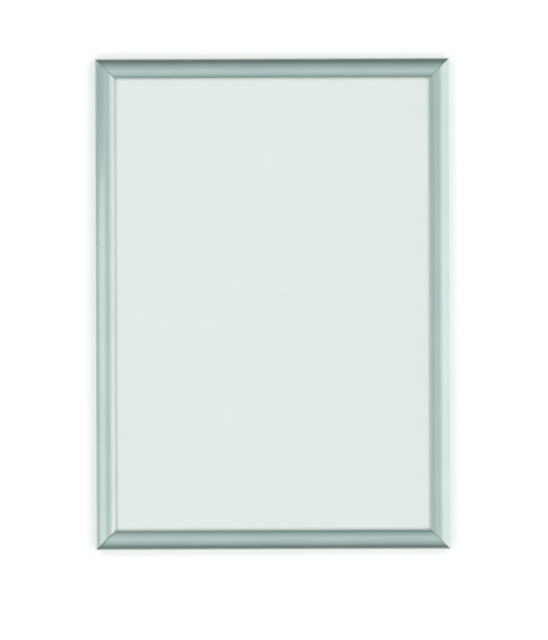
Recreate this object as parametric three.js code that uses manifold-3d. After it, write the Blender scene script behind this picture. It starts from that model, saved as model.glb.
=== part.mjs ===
// Outdoor snap frame for one poster sheet: four mitred base rails keyed together at the corners,
// four spring-loaded snap rails hinged on their outer edges, and the sheets that they clamp.
// Millimetres. X is right, Z is up, the wall is the plane Y = 0 and the front faces -Y.
import * as THREE from "three";
import { mergeVertices } from "three/addons/utils/BufferGeometryUtils.js";
import Module from "manifold-3d";

const wasm = await Module();
wasm.setup();

// Driving dimensions of the sheets and the frame
const SHEET_WIDTH = 420; // A2 poster
const SHEET_HEIGHT = 594;
const SHEET_COVERED = 10; // how far a rail reaches over the sheet's edge
const RAIL_WIDTH = 25; // seen from the front
const CROWN_FROM_EDGE = 14.8; // the rail's highest line, from its outer edge
const CROWN_ABOVE_HINGE = 8.5;
const MITRE_GAP = 0.4; // between two snap rails, square to the cut
const BASE_MITRE_GAP = 0.2;

// Sheets, from the wall to the front
const PANEL_THICKNESS = 2.5;
const POSTER_THICKNESS = 0.3;
const COVER_THICKNESS = 0.8;
const SHEET_GAP = 0.1; // between sheets that lie on each other
const SHEET_PLAY = 0.5; // from a sheet's edge to the web that stops it

// Base rail
const FLOOR = 1.4;
const OUTER_WALL = 1.2;
const WEB = 1.4; // the upright web that stops the sheets
const LEDGE = 1.4; // the ledge on the web that carries the sheets
const LEDGE_REACH = 4; // how far the ledge reaches under the sheets
const KEY_LIP = 0.75; // thickness of the two lips over the corner key
const OUTER_LIP_REACH = 1.1;
const INNER_LIP_REACH = 1.6;

// Hinge: a bead along the base rail's outer wall, and a claw on the snap rail around it
const BEAD_RADIUS = 1.2;
const HINGE_CLEARANCE = 0.25;
const CLAW_WALL = 1.3;
const CLAW_OVER_LIP = 0.3; // from the claw down to the lips over the corner key
const OPEN_ANGLE = 90; // degrees that a snap rail swings

// Snap rail
const COVER_WALL = 1.4;
const WINDOW_DROP = 3.2; // how far the face falls from its crown to the window's edge
const LIP_FILLET = 0.8; // round edge at the window
const LIP_FLAT = 0.2; // upright stretch below the round edge
const FOOT_WIDTH = 5.4; // thick foot of the lip, which holds the seal

// Weather seal: a head in the foot's groove, a neck through its mouth and a flat bulb on the sheet, whose
// edge shows around the window
const SEAL_GAP = 0.1;
const SEAL_NECK = 0.8;
const SEAL_HEAD_WIDTH = 1.6;
const SEAL_HEAD_HEIGHT = 0.6;
const SEAL_MOUTH_DEPTH = 0.5;
const SEAL_FROM_LIP = 3.6; // from the lip to the neck's middle
const SEAL_BULB_BEHIND = 1.3; // from the neck's middle, away from the window
const SEAL_BULB_HEIGHT = 0.9;
const SEAL_SHOWS = 0.6; // past the snap rail's lip

// Leaf springs: each end is a rolled edge in a round seat
const LEAF_THICKNESS = 0.4;
const LEAF_LENGTH = 16; // along the rail
const LEAF_BOW = 0.8;
const ROLL_RADIUS = 0.5;
const SEAT_CLEARANCE = 0.2;
const SEAT_WALL = 0.5;
const ARM_REACH = 5.6; // from the hinge to the seat on the snap rail
const ARM_THICKNESS = 1.2;
const HEAD_CLEARANCE = 0.9; // from the web's head to the snap rail over it
const HEEL_RELIEF = 0.6; // the arm and the claw's heel stop this far short of a neighbour's swing
const SHORT_SIDE_SPRINGS = 2;
const LONG_SIDE_SPRINGS = 3;

// Corner keys and their grub screws
const KEY_THICKNESS = 2;
const KEY_ARM = 55; // from the frame's outer corner
const KEY_CLEARANCE = 0.15;
const GRUB_RADIUS = 2;
const GRUB_LENGTH = 2.5;
const GRUB_FROM_CORNER = 30;
const GRUB_CLEARANCE = 0.15;
const GRUB_SOCKET = 1.1; // half the hexagon's width across its corners
const GRUB_SOCKET_DEPTH = 1.4;

// Wall screw holes, countersunk from the channel
const HOLE_RADIUS = 2.25;
const COUNTERSINK_RADIUS = 3.6;
const COUNTERSINK_DEPTH = 1;

const CHORD_ERROR = 0.02; // how far a facet may lie from its true arc
const ROUND_SIDES = 32;
const CUT_EXTRA = 1; // how far a cutting tool stands out of what it cuts

// Sizes that follow. In a rail's section, x runs inwards from the outer edge and y out from the wall.
const FRAME_WIDTH = SHEET_WIDTH - 2 * SHEET_COVERED + 2 * RAIL_WIDTH;
const FRAME_HEIGHT = SHEET_HEIGHT - 2 * SHEET_COVERED + 2 * RAIL_WIDTH;
const SHEET_EDGE = RAIL_WIDTH - SHEET_COVERED;
const WEB_INNER = SHEET_EDGE - SHEET_PLAY;
const WEB_OUTER = WEB_INNER - WEB;

const KEY_SLOT_TOP = FLOOR + KEY_THICKNESS + 2 * KEY_CLEARANCE;
const LIP_TOP = KEY_SLOT_TOP + KEY_LIP;
const CHANNEL_CENTRE = (OUTER_WALL + WEB_OUTER) / 2;

const CLAW_INNER = BEAD_RADIUS + HINGE_CLEARANCE;
const CLAW_OUTER = CLAW_INNER + CLAW_WALL;
const HINGE = new THREE.Vector2(BEAD_RADIUS, LIP_TOP + CLAW_OVER_LIP + CLAW_OUTER);
const CLAW_TIP = Math.acos(-HINGE.x / CLAW_OUTER); // where the claw's outside is flush with the outer wall
const CLAW_HEEL = -Math.acos((OUTER_WALL + HINGE_CLEARANCE - HINGE.x) / CLAW_INNER);

const CROWN = new THREE.Vector2(CROWN_FROM_EDGE, HINGE.y + CROWN_ABOVE_HINGE);
const TIP = polar(HINGE, CLAW_OUTER, CLAW_TIP);
const OUTER_ARC_RADIUS = arcRadius(CROWN.x - TIP.x, CROWN.y - TIP.y);
const OUTER_ARC = new THREE.Vector2(CROWN.x, CROWN.y - OUTER_ARC_RADIUS);
const INNER_ARC_RADIUS = arcRadius(RAIL_WIDTH - CROWN.x, WINDOW_DROP);
const INNER_ARC = new THREE.Vector2(CROWN.x, CROWN.y - INNER_ARC_RADIUS);
const LIP_FILLET_X = RAIL_WIDTH - LIP_FILLET;
const LIP_FILLET_Y = heightOnCircle(INNER_ARC, INNER_ARC_RADIUS - LIP_FILLET, LIP_FILLET_X);

// From the lip back to the wall: the seal presses on the cover, and the ledge carries the sheets up to it
const FOOT_BACK = LIP_FILLET_Y - LIP_FLAT;
const SEAL_CENTRE = RAIL_WIDTH - SEAL_FROM_LIP;
const SEAL_BULB_BACK = FOOT_BACK - SEAL_GAP - SEAL_BULB_HEIGHT;
const COVER_BACK = SEAL_BULB_BACK - SEAL_GAP - COVER_THICKNESS;
const POSTER_BACK = COVER_BACK - SHEET_GAP - POSTER_THICKNESS;
const PANEL_BACK = POSTER_BACK - SHEET_GAP - PANEL_THICKNESS;
const LEDGE_FRONT = PANEL_BACK - SHEET_GAP;
const LEDGE_BACK = LEDGE_FRONT - LEDGE;

const SEAT_RADIUS = ROLL_RADIUS + SEAT_CLEARANCE;
const SEAT_OUTER = SEAT_RADIUS + SEAT_WALL;
const BASE_SEAT_X = WEB_OUTER - SEAT_WALL;
const HEAD_TOP = heightOnCircle(OUTER_ARC, OUTER_ARC_RADIUS - COVER_WALL, BASE_SEAT_X) - HEAD_CLEARANCE;
const BASE_SEAT = new THREE.Vector2(BASE_SEAT_X, HEAD_TOP - SEAT_OUTER);
// The leaf pushes the rail shut below the line from the hinge to the base seat, and open above it
const ARM_ANGLE = angleTo(HINGE, BASE_SEAT) - radians(OPEN_ANGLE) / 2;
const ARM_SEAT = polar(HINGE, ARM_REACH, ARM_ANGLE);
const HEEL_CUT = HINGE.x + ARM_REACH + SEAT_OUTER + HEEL_RELIEF;

// Directions in which the leaf leaves its seats, with the rail shut and open, and the room it needs there
const ARM_SEAT_OPEN = polar(HINGE, ARM_REACH, ARM_ANGLE + radians(OPEN_ANGLE));
const LEAF_CHORD = ARM_SEAT.distanceTo(BASE_SEAT);
const LEAF_SLOPE = 2 * Math.atan((2 * LEAF_BOW) / LEAF_CHORD);
const LEAF_SHUT = angleTo(ARM_SEAT, BASE_SEAT);
const LEAF_OPEN = angleTo(ARM_SEAT_OPEN, BASE_SEAT);
const LEAF_ROOM = Math.asin((LEAF_THICKNESS / 2 + SEAT_CLEARANCE) / SEAT_RADIUS);

function radians(degrees) {
  return THREE.MathUtils.degToRad(degrees);
}

function polar(centre, radius, angle) {
  return new THREE.Vector2(centre.x + radius * Math.cos(angle), centre.y + radius * Math.sin(angle));
}

function angleTo(from, to) {
  return Math.atan2(to.y - from.y, to.x - from.x);
}

// Radius of an arc that starts level and falls by a height over a run
function arcRadius(run, fall) {
  return (run ** 2 + fall ** 2) / (2 * fall);
}

function heightOnCircle(centre, radius, x) {
  return centre.y + Math.sqrt(radius ** 2 - (x - centre.x) ** 2);
}

// Points along an arc, both ends included, close enough together to keep to the chord error
function arc(centre, radius, from, to) {
  const step = 2 * Math.acos(1 - CHORD_ERROR / Math.max(radius, 2 * CHORD_ERROR));
  const steps = Math.max(1, Math.ceil(Math.abs(to - from) / step));
  const turn = (to - from) / steps;
  return Array.from({ length: steps + 1 }, (_, i) => polar(centre, radius, from + i * turn));
}

function point(x, y) {
  return new THREE.Vector2(x, y);
}

// Solids
function solidOf(geometry) {
  const bare = geometry.clone();
  bare.deleteAttribute("normal");
  bare.deleteAttribute("uv");
  const merged = mergeVertices(bare, 1e-4);
  const triVerts = new Uint32Array(merged.index.array);
  return new wasm.Manifold(
    new wasm.Mesh({ numProp: 3, vertProperties: merged.getAttribute("position").array, triVerts }),
  );
}

function geometryOf(solid) {
  const { vertProperties, triVerts } = solid.getMesh();
  const geometry = new THREE.BufferGeometry();
  geometry.setAttribute("position", new THREE.BufferAttribute(vertProperties, 3));
  geometry.setIndex(new THREE.BufferAttribute(triVerts, 1));
  geometry.computeVertexNormals();
  return geometry;
}

// A rail of the given section along X, whose ends lie where endAt(x of the section) says
function rail(section, endAt) {
  const geometry = new THREE.ExtrudeGeometry(new THREE.Shape(section), { depth: 1, bevelEnabled: false });
  const place = geometry.getAttribute("position");
  for (let i = 0; i < place.count; i += 1) {
    const [inwards, outwards, end] = [place.getX(i), place.getY(i), place.getZ(i)];
    place.setXYZ(i, (2 * end - 1) * endAt(inwards), inwards, outwards);
  }
  return geometry;
}

function mitredRail(section, length, gap) {
  return rail(section, (inwards) => length / 2 - inwards - gap * Math.SQRT1_2);
}

function squareBar(section, length) {
  return rail(section, () => length / 2);
}

function boxBetween(low, high) {
  const box = new THREE.Box3(low, high);
  const size = box.getSize(new THREE.Vector3());
  const centre = box.getCenter(new THREE.Vector3());
  return new THREE.BoxGeometry(size.x, size.y, size.z).translate(centre.x, centre.y, centre.z);
}

// A round or six-sided rod that stands out from the wall
function rod(backRadius, frontRadius, length, sides = ROUND_SIDES) {
  return new THREE.CylinderGeometry(frontRadius, backRadius, length, sides).rotateX(Math.PI / 2);
}

// Sections
function baseSection() {
  const ledgeEnd = SHEET_EDGE + LEDGE_REACH;
  const mouthTop = LEAF_OPEN + Math.PI - LEAF_SLOPE - LEAF_ROOM;
  const mouthBack = LEAF_SHUT - Math.PI - LEAF_SLOPE + LEAF_ROOM;
  const mouth = arc(BASE_SEAT, SEAT_RADIUS, mouthTop, mouthBack);
  const headBack = BASE_SEAT.y - SEAT_OUTER;
  const headSide = mouth.at(-1).x;
  const beadFoot = -Math.acos((OUTER_WALL - HINGE.x) / BEAD_RADIUS);
  return [
    point(0, 0),
    point(WEB_INNER, 0),
    point(WEB_INNER, LEDGE_BACK),
    point(ledgeEnd, LEDGE_BACK),
    point(ledgeEnd, LEDGE_FRONT),
    point(WEB_INNER, LEDGE_FRONT),
    point(WEB_INNER, HEAD_TOP),
    point(mouth[0].x, HEAD_TOP),
    ...mouth,
    point(headSide, headBack),
    point(WEB_OUTER, headBack - (WEB_OUTER - headSide)),
    point(WEB_OUTER, LIP_TOP),
    point(WEB_OUTER - INNER_LIP_REACH, LIP_TOP),
    point(WEB_OUTER - INNER_LIP_REACH, KEY_SLOT_TOP),
    point(WEB_OUTER, KEY_SLOT_TOP),
    point(WEB_OUTER, FLOOR),
    point(OUTER_WALL, FLOOR),
    point(OUTER_WALL, KEY_SLOT_TOP),
    point(OUTER_WALL + OUTER_LIP_REACH, KEY_SLOT_TOP),
    point(OUTER_WALL + OUTER_LIP_REACH, LIP_TOP),
    point(OUTER_WALL, LIP_TOP),
    ...arc(HINGE, BEAD_RADIUS, beadFoot, Math.PI),
  ];
}

// The arm's end, a round seat that stays open to the leaf from shut to open
function armSeatOutline() {
  const toHinge = ARM_ANGLE + Math.PI;
  const edge = Math.asin(ARM_THICKNESS / 2 / SEAT_OUTER);
  const upper = LEAF_SHUT + LEAF_SLOPE + LEAF_ROOM;
  const lower = LEAF_OPEN + LEAF_SLOPE - LEAF_ROOM - radians(OPEN_ANGLE) + 2 * Math.PI;
  return [
    ...arc(ARM_SEAT, SEAT_OUTER, toHinge - edge, upper),
    ...arc(ARM_SEAT, SEAT_RADIUS, upper, lower),
    ...arc(ARM_SEAT, SEAT_OUTER, lower, toHinge + edge),
  ];
}

function snapSection() {
  const fillet = point(LIP_FILLET_X, LIP_FILLET_Y);
  const filletStart = angleTo(INNER_ARC, fillet);
  const underside = OUTER_ARC_RADIUS - COVER_WALL;
  const innerUnderside = INNER_ARC_RADIUS - COVER_WALL;
  const footSide = RAIL_WIDTH - FOOT_WIDTH;
  const footTop = point(footSide, heightOnCircle(INNER_ARC, innerUnderside, footSide));
  // Where the underside runs into the claw
  const apart = HINGE.distanceTo(OUTER_ARC);
  const turn = Math.acos((apart ** 2 + CLAW_OUTER ** 2 - underside ** 2) / (2 * apart * CLAW_OUTER));
  const clawTop = angleTo(HINGE, OUTER_ARC) + turn;
  const undersideEnd = angleTo(OUTER_ARC, polar(HINGE, CLAW_OUTER, clawTop));
  const armEdge = Math.asin(ARM_THICKNESS / 2 / CLAW_OUTER);

  const mouthHalf = SEAL_NECK / 2 + SEAL_GAP;
  const grooveHalf = SEAL_HEAD_WIDTH / 2 + SEAL_GAP;
  const mouthTop = FOOT_BACK + SEAL_MOUTH_DEPTH;
  const grooveTop = mouthTop + SEAL_HEAD_HEIGHT + 2 * SEAL_GAP;
  return [
    ...arc(HINGE, CLAW_INNER, CLAW_HEEL, CLAW_TIP),
    ...arc(OUTER_ARC, OUTER_ARC_RADIUS, angleTo(OUTER_ARC, TIP), Math.PI / 2),
    ...arc(INNER_ARC, INNER_ARC_RADIUS, Math.PI / 2, filletStart).slice(1),
    ...arc(fillet, LIP_FILLET, filletStart, 0).slice(1),
    point(RAIL_WIDTH, FOOT_BACK),
    point(SEAL_CENTRE + mouthHalf, FOOT_BACK),
    point(SEAL_CENTRE + mouthHalf, mouthTop),
    point(SEAL_CENTRE + grooveHalf, mouthTop),
    point(SEAL_CENTRE + grooveHalf, grooveTop),
    point(SEAL_CENTRE - grooveHalf, grooveTop),
    point(SEAL_CENTRE - grooveHalf, mouthTop),
    point(SEAL_CENTRE - mouthHalf, mouthTop),
    point(SEAL_CENTRE - mouthHalf, FOOT_BACK),
    point(footSide, FOOT_BACK),
    ...arc(INNER_ARC, innerUnderside, angleTo(INNER_ARC, footTop), Math.PI / 2),
    ...arc(OUTER_ARC, underside, Math.PI / 2, undersideEnd).slice(1),
    ...arc(HINGE, CLAW_OUTER, clawTop, ARM_ANGLE + armEdge).slice(1),
    ...armSeatOutline(),
    ...arc(HINGE, CLAW_OUTER, ARM_ANGLE - armEdge, CLAW_HEEL),
  ];
}

function sealSection() {
  const neckHalf = SEAL_NECK / 2;
  const headHalf = SEAL_HEAD_WIDTH / 2;
  const behind = SEAL_CENTRE - SEAL_BULB_BEHIND;
  const edge = RAIL_WIDTH + SEAL_SHOWS;
  const headBack = FOOT_BACK + SEAL_MOUTH_DEPTH + SEAL_GAP;
  const bulbFront = SEAL_BULB_BACK + SEAL_BULB_HEIGHT;
  const round = Math.min((edge - behind) / 2, SEAL_BULB_HEIGHT);
  return [
    ...arc(point(behind + round, SEAL_BULB_BACK + round), round, Math.PI, 1.5 * Math.PI),
    ...arc(point(edge - round, SEAL_BULB_BACK + round), round, 1.5 * Math.PI, 2 * Math.PI),
    point(SEAL_CENTRE + neckHalf, bulbFront),
    point(SEAL_CENTRE + neckHalf, headBack),
    point(SEAL_CENTRE + headHalf, headBack),
    point(SEAL_CENTRE + headHalf, headBack + SEAL_HEAD_HEIGHT),
    point(SEAL_CENTRE - headHalf, headBack + SEAL_HEAD_HEIGHT),
    point(SEAL_CENTRE - headHalf, headBack),
    point(SEAL_CENTRE - neckHalf, headBack),
    point(SEAL_CENTRE - neckHalf, bulbFront),
  ];
}

// A bowed strip from the arm's seat to the base seat, with a rolled edge at each end
function leafSection() {
  const bowRadius = arcRadius(LEAF_CHORD / 2, LEAF_BOW);
  const middle = ARM_SEAT.clone().add(BASE_SEAT).multiplyScalar(0.5);
  const centre = polar(middle, bowRadius - LEAF_BOW, LEAF_SHUT - Math.PI / 2);
  const half = LEAF_THICKNESS / 2;
  const trim = Math.sqrt(ROLL_RADIUS ** 2 - half ** 2) / bowRadius;
  const from = angleTo(centre, ARM_SEAT) - trim;
  const to = angleTo(centre, BASE_SEAT) + trim;
  const front = arc(centre, bowRadius + half, from, to);
  const back = arc(centre, bowRadius - half, to, from);
  const rolled = (seat, start, end) => {
    const first = angleTo(seat, start);
    const sweep = THREE.MathUtils.euclideanModulo(first - angleTo(seat, end), 2 * Math.PI);
    return arc(seat, ROLL_RADIUS, first, first - sweep).slice(1, -1);
  };
  return [
    ...front,
    ...rolled(BASE_SEAT, front.at(-1), back[0]),
    ...back,
    ...rolled(ARM_SEAT, back.at(-1), front[0]),
  ];
}

// Materials
function material(name, color, roughness, metalness) {
  return new THREE.MeshStandardMaterial({ name, color, roughness, metalness });
}

const ANODISED = material("anodised_aluminium", 0xaebfbc, 0.36, 1);
const MILL_ALUMINIUM = material("base_aluminium", 0xb4bfbd, 0.42, 1);
const SPRING_STEEL = material("spring_steel", 0x8f9498, 0.3, 1);
const ZINC_STEEL = material("zinc_steel", 0xa8adaf, 0.4, 1);
const RUBBER = material("seal_rubber", 0xccd3d1, 0.7, 0);
const PANEL_PLASTIC = material("panel_plastic", 0xd8dddb, 0.6, 0);
const PAPER = material("poster_paper", 0xe4ebe8, 0.9, 0);
const CLEAR_SHEET = material("clear_sheet", 0xe6efec, 0.25, 0);

function named(name, geometry, look) {
  const mesh = new THREE.Mesh(geometry, look);
  mesh.name = name;
  return mesh;
}

// Places along one side: the springs evenly spaced, and a wall screw midway between two springs
function springPlaces(count, length) {
  return Array.from({ length: count }, (_, i) => length * ((i + 0.5) / count - 0.5));
}

function holePlaces(springs) {
  return springs.slice(1).map((place, i) => (place + springs[i]) / 2);
}

// Sub-parts of one side, in its own frame: X along the side, Y inwards and Z out from the wall
function baseRail(length, holes) {
  let solid = solidOf(mitredRail(baseSection(), length, BASE_MITRE_GAP));
  const drill = rod(HOLE_RADIUS, HOLE_RADIUS, FLOOR + 2 * CUT_EXTRA);
  const slope = (COUNTERSINK_RADIUS - HOLE_RADIUS) / COUNTERSINK_DEPTH;
  const sinkLength = COUNTERSINK_DEPTH + KEY_LIP;
  const sink = rod(HOLE_RADIUS, HOLE_RADIUS + slope * sinkLength, sinkLength);
  for (const place of holes) {
    const hole = drill.clone().translate(place, CHANNEL_CENTRE, FLOOR / 2);
    const cone = sink.clone().translate(place, CHANNEL_CENTRE, FLOOR - COUNTERSINK_DEPTH + sinkLength / 2);
    solid = solid.subtract(solidOf(hole)).subtract(solidOf(cone));
  }
  return geometryOf(solid);
}

// The heel of the claw and the arm stop short of the mitre, so that open rails clear each other
function snapRail(length) {
  let solid = solidOf(mitredRail(snapSection(), length, MITRE_GAP));
  for (const end of [-1, 1]) {
    const outside = end * (length / 2 + CUT_EXTRA);
    const inside = end * (length / 2 - HEEL_CUT);
    const cut = boxBetween(
      new THREE.Vector3(Math.min(outside, inside), -CUT_EXTRA, 0),
      new THREE.Vector3(Math.max(outside, inside), HEEL_CUT, HINGE.y),
    );
    solid = solid.subtract(solidOf(cut));
  }
  return geometryOf(solid);
}

function side(name, length, springCount) {
  const group = new THREE.Group();
  const springs = springPlaces(springCount, length);
  group.add(
    named(`base_rail_${name}`, baseRail(length, holePlaces(springs)), MILL_ALUMINIUM),
    named(`snap_rail_${name}`, snapRail(length), ANODISED),
    named(`weather_seal_${name}`, mitredRail(sealSection(), length, MITRE_GAP), RUBBER),
  );
  springs.forEach((place, i) => {
    const leaf = named(`leaf_spring_${name}_${i + 1}`, squareBar(leafSection(), LEAF_LENGTH), SPRING_STEEL);
    leaf.position.x = place;
    group.add(leaf);
  });
  return group;
}

// Sub-parts of one corner, in its own frame: X and Y along the two sides that meet there
function cornerKey() {
  const outer = OUTER_WALL + KEY_CLEARANCE;
  const inner = WEB_OUTER - KEY_CLEARANCE;
  const shape = new THREE.Shape([
    point(outer, outer),
    point(KEY_ARM, outer),
    point(KEY_ARM, inner),
    point(inner, inner),
    point(inner, KEY_ARM),
    point(outer, KEY_ARM),
  ]);
  for (const centre of [point(GRUB_FROM_CORNER, CHANNEL_CENTRE), point(CHANNEL_CENTRE, GRUB_FROM_CORNER)]) {
    shape.holes.push(new THREE.Path(arc(centre, GRUB_RADIUS + GRUB_CLEARANCE, 0, 2 * Math.PI).slice(1)));
  }
  return new THREE.ExtrudeGeometry(shape, { depth: KEY_THICKNESS, bevelEnabled: false });
}

function grubScrew() {
  const socketLength = GRUB_SOCKET_DEPTH + CUT_EXTRA;
  const socket = rod(GRUB_SOCKET, GRUB_SOCKET, socketLength, 6);
  socket.translate(0, 0, GRUB_LENGTH - GRUB_SOCKET_DEPTH + socketLength / 2);
  const body = rod(GRUB_RADIUS, GRUB_RADIUS, GRUB_LENGTH).translate(0, 0, GRUB_LENGTH / 2);
  return geometryOf(solidOf(body).subtract(solidOf(socket)));
}

function corner(name) {
  const group = new THREE.Group();
  const key = named(`corner_key_${name}`, cornerKey(), ZINC_STEEL);
  const screws = [
    [GRUB_FROM_CORNER, CHANNEL_CENTRE],
    [CHANNEL_CENTRE, GRUB_FROM_CORNER],
  ].map(([x, y], i) => {
    const screw = named(`key_screw_${name}_${i + 1}`, grubScrew(), ZINC_STEEL);
    screw.position.set(x, y, FLOOR + KEY_CLEARANCE);
    return screw;
  });
  key.position.z = FLOOR + KEY_CLEARANCE;
  group.add(key, ...screws);
  return group;
}

function sheet(back, thickness) {
  const [halfWidth, halfHeight] = [SHEET_WIDTH / 2, SHEET_HEIGHT / 2];
  return boxBetween(
    new THREE.Vector3(-halfWidth, -halfHeight, back),
    new THREE.Vector3(halfWidth, halfHeight, back + thickness),
  );
}

// Assembly, laid out on the wall's plane with X right, Y up and Z out, then stood up
const onWall = new THREE.Group();
const [halfWidth, halfHeight] = [FRAME_WIDTH / 2, FRAME_HEIGHT / 2];
const SIDES = [
  ["bottom", FRAME_WIDTH, halfHeight, SHORT_SIDE_SPRINGS],
  ["right", FRAME_HEIGHT, halfWidth, LONG_SIDE_SPRINGS],
  ["top", FRAME_WIDTH, halfHeight, SHORT_SIDE_SPRINGS],
  ["left", FRAME_HEIGHT, halfWidth, LONG_SIDE_SPRINGS],
];
SIDES.forEach(([name, length, reach, springCount], quarter) => {
  const turned = new THREE.Group();
  const placed = side(name, length, springCount);
  placed.position.y = -reach;
  turned.rotation.z = (quarter * Math.PI) / 2;
  turned.add(placed);
  onWall.add(turned);
});

const CORNERS = [
  ["bottom_left", -halfWidth, -halfHeight],
  ["bottom_right", halfWidth, -halfHeight],
  ["top_right", halfWidth, halfHeight],
  ["top_left", -halfWidth, halfHeight],
];
CORNERS.forEach(([name, x, y], quarter) => {
  const placed = corner(name);
  placed.position.set(x, y, 0);
  placed.rotation.z = (quarter * Math.PI) / 2;
  onWall.add(placed);
});

onWall.add(
  named("back_panel", sheet(PANEL_BACK, PANEL_THICKNESS), PANEL_PLASTIC),
  named("poster_sheet", sheet(POSTER_BACK, POSTER_THICKNESS), PAPER),
  named("cover_sheet", sheet(COVER_BACK, COVER_THICKNESS), CLEAR_SHEET),
);
onWall.rotation.x = Math.PI / 2;

const snapFrame = new THREE.Group();
snapFrame.name = "outdoor_snap_frame";
snapFrame.add(onWall);

export default snapFrame;
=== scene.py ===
# %% [markdown]
# # A weatherproof snap frame, dressed in Blender
# The frame hangs flat on a wall. Four satin aluminium rails meet at mitres, each one hinged on its outer
# edge, and they clamp a blank poster behind a matt clear cover. The CAD model already holds every piece in
# its place, so this lesson loads it first and keeps its box. Each Blender piece that follows is built in the
# same frame, in metres, with X to the right, Z up, the wall at Y = 0 and the front facing -Y.

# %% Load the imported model
import math

import bpy
from mathutils import Matrix, Vector


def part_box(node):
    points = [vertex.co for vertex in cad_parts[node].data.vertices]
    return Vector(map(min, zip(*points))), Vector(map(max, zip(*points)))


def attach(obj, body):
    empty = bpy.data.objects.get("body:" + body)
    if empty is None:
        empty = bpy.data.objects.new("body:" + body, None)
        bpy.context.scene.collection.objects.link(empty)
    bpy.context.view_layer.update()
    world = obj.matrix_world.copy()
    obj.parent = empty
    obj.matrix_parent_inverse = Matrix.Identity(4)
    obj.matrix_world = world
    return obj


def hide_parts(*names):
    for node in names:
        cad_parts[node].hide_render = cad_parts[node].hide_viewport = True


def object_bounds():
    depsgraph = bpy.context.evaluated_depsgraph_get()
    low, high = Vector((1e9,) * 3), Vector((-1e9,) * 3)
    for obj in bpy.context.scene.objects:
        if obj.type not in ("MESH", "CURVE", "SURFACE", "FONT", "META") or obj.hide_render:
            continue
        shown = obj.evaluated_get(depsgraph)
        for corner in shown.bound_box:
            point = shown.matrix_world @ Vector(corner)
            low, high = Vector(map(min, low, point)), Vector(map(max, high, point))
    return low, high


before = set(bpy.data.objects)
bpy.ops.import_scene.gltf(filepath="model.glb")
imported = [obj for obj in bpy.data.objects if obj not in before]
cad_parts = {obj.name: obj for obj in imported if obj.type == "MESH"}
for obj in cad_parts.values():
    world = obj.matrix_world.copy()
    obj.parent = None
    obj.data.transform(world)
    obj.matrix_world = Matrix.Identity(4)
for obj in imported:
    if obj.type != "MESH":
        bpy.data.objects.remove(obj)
cad_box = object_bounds()
print("CAD box in millimetres:", [[round(1000 * value, 1) for value in corner] for corner in cad_box])

# %% [markdown]
# ## Camera
# The photograph is taken square on, as if from 2.4 m, with a tiny tilt that turns the frame by a fifth of a
# degree. A long lens keeps the rails' perspective small. The lens follows from the scale: so many pixels for
# each metre at the rails' outer edges. Setting the camera's axes by hand is clearer here than aiming it.

# %% The camera
IMAGE_HEIGHT = 640  # pixels, the longer side of the picture
SENSOR = 36  # millimetres along the longer side
CAMERA_DISTANCE = 2.4  # metres from the wall
CAMERA_X, CAMERA_Z = 0.0015, -0.0203
CAMERA_TILT = math.radians(0.19)
EDGE_DEPTH = 0.010  # how far the rails' outer edges stand off the wall
PIXELS_PER_METRE = 787.5

camera = bpy.data.objects.new("camera", bpy.data.cameras.new("camera"))
camera.data.sensor_width = SENSOR
camera.data.lens = PIXELS_PER_METRE * (CAMERA_DISTANCE - EDGE_DEPTH) * SENSOR / IMAGE_HEIGHT
camera.data.clip_start = 0.05
camera.location = (CAMERA_X, -CAMERA_DISTANCE, CAMERA_Z)
camera.rotation_euler = (
    Matrix.Rotation(CAMERA_TILT, 3, "Y") @ Matrix.Rotation(math.radians(90), 3, "X")
).to_euler()
bpy.context.scene.collection.objects.link(camera)
bpy.context.scene.camera = camera
print("lens:", round(camera.data.lens, 2), "mm")

# %% [markdown]
# ## Writing shaders as sums
# A finish is a tree of nodes. Linking them by hand hides the idea, so two small classes let us write it as
# Python. The first is a `Wire`, one output socket: `1 - wire` or `wire * 0.2` adds the Math node for it.

# %% Wires
class Wire:
    """An output socket. Python's operators on it add Math nodes to its finish."""

    def __init__(self, finish, socket):
        self.finish, self.socket = finish, socket

    def maths(self, operation, *values):
        return self.finish.node("ShaderNodeMath", {"operation": operation}, dict(enumerate(values)))

    def __add__(self, other):
        return self.maths("ADD", self, other)

    def __sub__(self, other):
        return self.maths("SUBTRACT", self, other)

    def __rsub__(self, other):
        return self.maths("SUBTRACT", other, self)

    def __mul__(self, other):
        return self.maths("MULTIPLY", self, other)

    def __abs__(self):
        return self.maths("ABSOLUTE", self)

    __radd__, __rmul__ = __add__, __mul__


print("a", Wire.__name__, "can be added, subtracted, multiplied and made positive")

# %% [markdown]
# The second class is a `Finish`. It owns the tree of a material or of the world, and its one method `node`
# adds any other node: first its settings, then its sockets, each as a value or as a wire.

# %% Finishes
class Finish:
    """The empty node tree of a material or the world, ready to be filled."""

    def __init__(self, owner):
        owner.use_nodes = True
        self.owner, self.tree = owner, owner.node_tree
        self.tree.nodes.clear()

    def node(self, kind, settings=None, sockets=None, out=0):
        made = self.tree.nodes.new(kind)
        for name, value in (settings or {}).items():
            if name == "stops":
                elements = made.color_ramp.elements
                for _ in value[2:]:
                    elements.new(0.5)
                for element, (position, rgb) in zip(elements, value):
                    element.position, element.color = position, (*rgb, 1)
            else:
                setattr(made, name, value)
        for name, value in (sockets or {}).items():
            if isinstance(value, Wire):
                self.tree.links.new(value.socket, made.inputs[name])
            else:
                made.inputs[name].default_value = value
        return Wire(self, made.outputs[out]) if made.outputs else None

    def surface(self, shader, output="ShaderNodeOutputMaterial"):
        self.node(output, None, {"Surface": shader})
        return self.owner


def material(name):
    return Finish(bpy.data.materials.new(name))


print("ready to paint with a", Finish.__name__)

# %% [markdown]
# Four sums come back in every finish: a place on the piece that is stretched along an axis, a noise read
# there, a soft step from 0 to 1, and a colour between two colours. Colours go through Mix, because a Math
# node would turn them grey.

# %% Sums that every finish uses
def colour(red, green, blue):
    return (red, green, blue, 1.0)


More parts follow.
